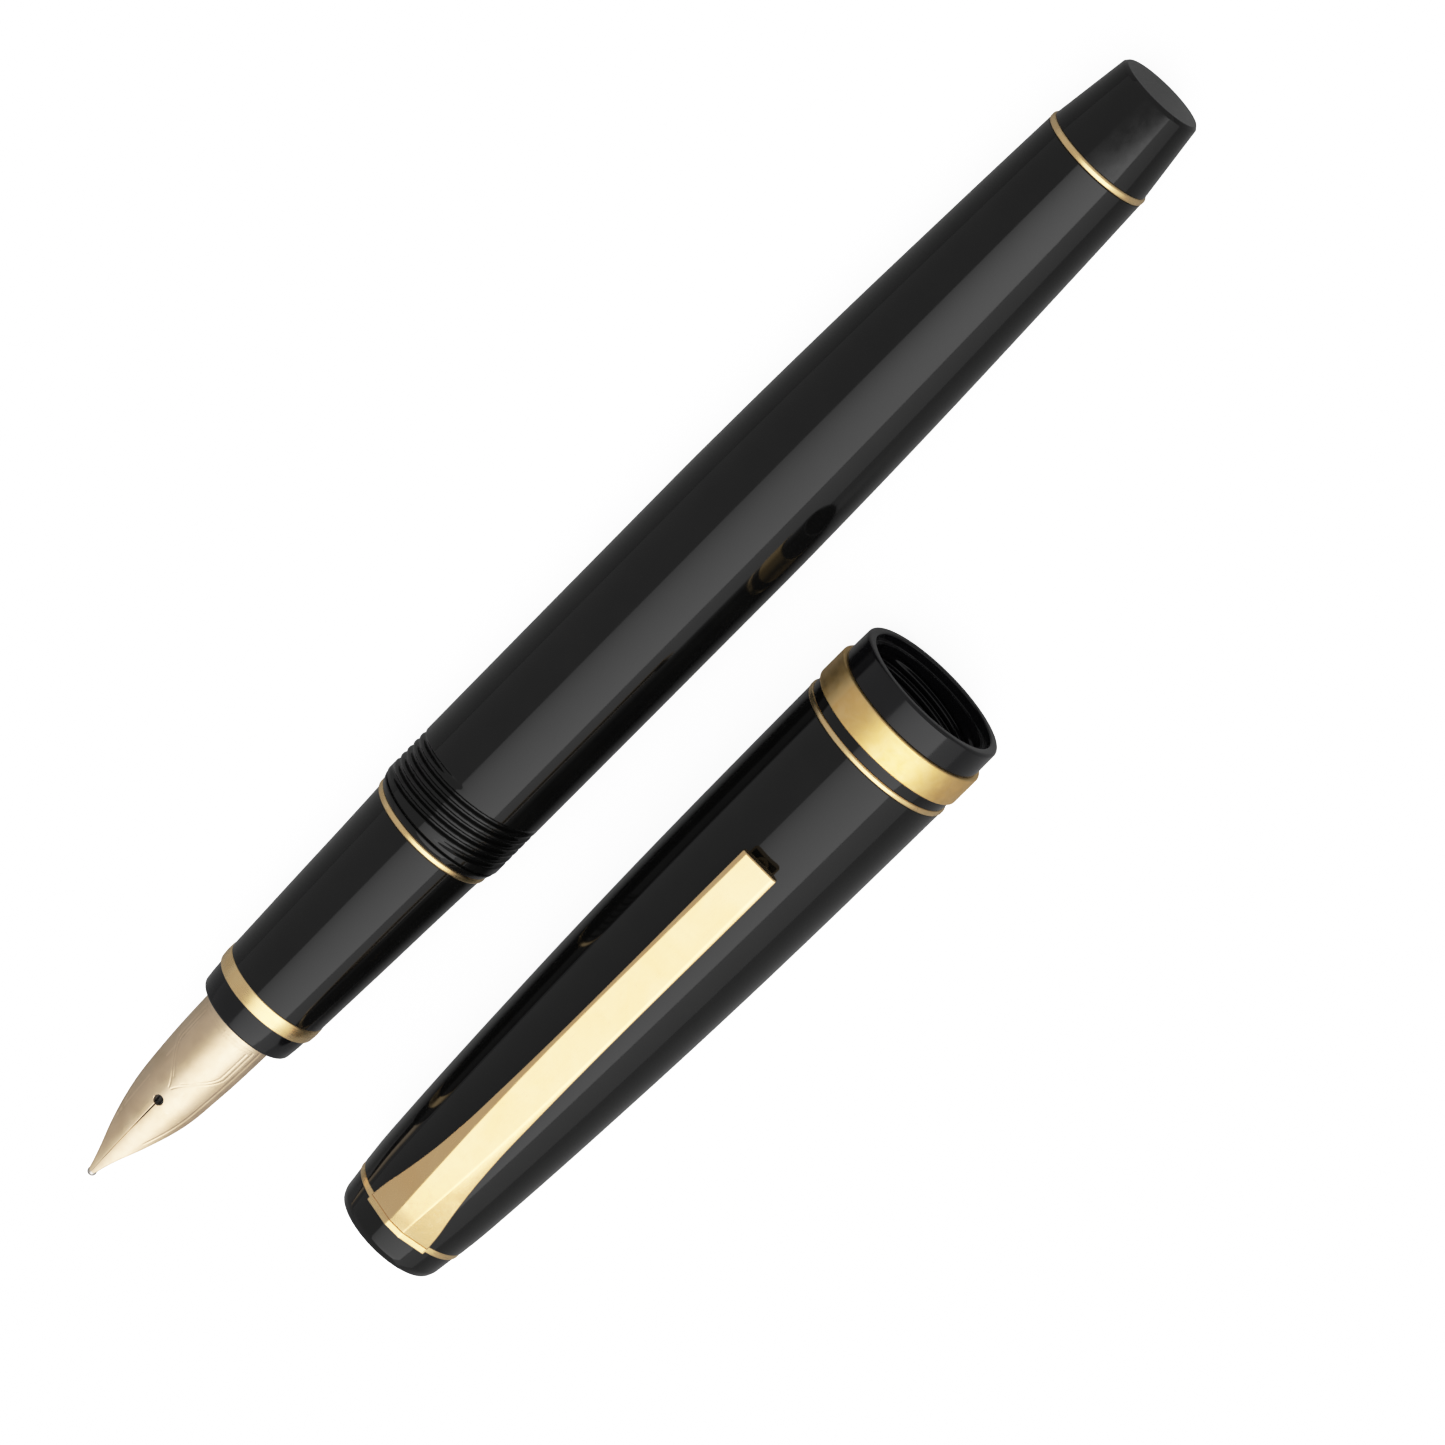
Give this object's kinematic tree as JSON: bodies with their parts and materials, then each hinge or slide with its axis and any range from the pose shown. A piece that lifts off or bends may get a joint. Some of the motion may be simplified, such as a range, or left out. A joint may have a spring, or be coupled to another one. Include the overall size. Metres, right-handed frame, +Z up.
{
  "type": "fountain pen",
  "caption": "Converter-filled fountain pen lying uncapped, its screw cap with a spring clip beside it; black resin with gold-coloured trim and nib.",
  "frame": {"origin": "middle of the footprint of the pen and its cap, on the surface they lie on", "axes": "+X along the pen from the nib to the tail, +Y from the cap towards the pen, +Z up"},
  "size_m": [0.1238, 0.0332, 0.016],
  "materials": {
    "black_resin": "polished black resin",
    "gold_trim": "polished gold plating over brass",
    "nib_gold": "polished pale gold alloy",
    "tipping_metal": "ground hard alloy",
    "feed_black": "satin black moulded plastic",
    "connector_metal": "machined brass",
    "clear_plastic": "clear",
    "bright_steel": "polished plate",
    "white_plastic": "natural moulded plastic",
    "seal_rubber": "smooth rubber",
    "liner_plastic": "satin moulded plastic"
  },
  "bodies": {
    "section": {"section_lip": "black_resin", "section_band": "gold_trim", "grip_section": "black_resin", "section_connector": "connector_metal", "ink_nipple": "feed_black"},
    "nib_unit": {"nib": "nib_gold", "nib_tipping": "tipping_metal", "feed": "feed_black"},
    "front_ring": {"barrel_ring": "gold_trim"},
    "rear_ring": {"tail_ring": "gold_trim"},
    "barrel": {"barrel": "black_resin", "tail_plug": "black_resin"},
    "converter": {"converter_mouth": "feed_black", "converter_tube": "clear_plastic", "converter_sleeve": "bright_steel", "rod_guide": "white_plastic"},
    "knob": {"converter_knob": "feed_black"},
    "piston": {"piston_rod": "white_plastic", "piston_head": "white_plastic", "piston_seal": "seal_rubber"},
    "cap_band": {"cap_wide_band": "gold_trim"},
    "cap": {"cap_tube": "black_resin", "inner_cap": "liner_plastic", "cap_narrow_band": "gold_trim", "band_spacer": "black_resin", "cap_lip": "black_resin", "cap_finial": "black_resin", "clip_ring": "gold_trim"},
    "clip": {"clip_arm": "gold_trim"}
  },
  "joints": [
    {"name": "nib_pull", "type": "slide", "parent": "section", "child": "nib_unit", "axis": [-1, 0, 0], "range_m": [0, 0.02]},
    {"name": "barrel_pull", "type": "slide", "parent": "section", "child": "front_ring", "axis": [1, 0, 0], "range_m": [0, 0.064]},
    {"name": "barrel_advance", "type": "slide", "parent": "front_ring", "child": "rear_ring", "axis": [1, 0, 0], "range_m": [0, 0.0061]},
    {"name": "barrel_unscrew", "type": "hinge", "parent": "rear_ring", "child": "barrel", "pos_m": [-0.01692, 0.01065, 0.00595], "axis": [1, 0, 0], "range_deg": [0, 2880]},
    {"name": "converter_pull", "type": "slide", "parent": "section", "child": "converter", "axis": [1, 0, 0], "range_m": [0, 0.007]},
    {"name": "knob_turn", "type": "hinge", "parent": "converter", "child": "knob", "pos_m": [0.02247, 0.01065, 0.00595], "axis": [-1, 0, 0], "range_deg": [0, 2016]},
    {"name": "piston_slide", "type": "slide", "parent": "converter", "child": "piston", "axis": [1, 0, 0], "range_m": [0, 0.014]},
    {"name": "cap_slide", "type": "slide", "parent": "section", "child": "cap_band", "axis": [-1, 0, 0], "range_m": [0, 0.08]},
    {"name": "cap_twist", "type": "hinge", "parent": "cap_band", "child": "cap", "pos_m": [0.01208, -0.00936, 0.00724], "axis": [1, 0, 0], "continuous": true},
    {"name": "clip_flex", "type": "hinge", "parent": "cap", "child": "clip", "pos_m": [-0.04412, -0.00936, 0.01284], "axis": [0, -1, 0], "range_deg": [0, 3.5], "stiffness_Nm_per_rad": 0.05, "springref_deg": -5.73}
  ],
  "couplings": [
    {"joint": "barrel_advance", "follows": "barrel_unscrew", "m_per_rad": 0.00011937},
    {"joint": "knob_turn", "follows": "piston_slide", "rad_per_m": 2513.3}
  ]
}
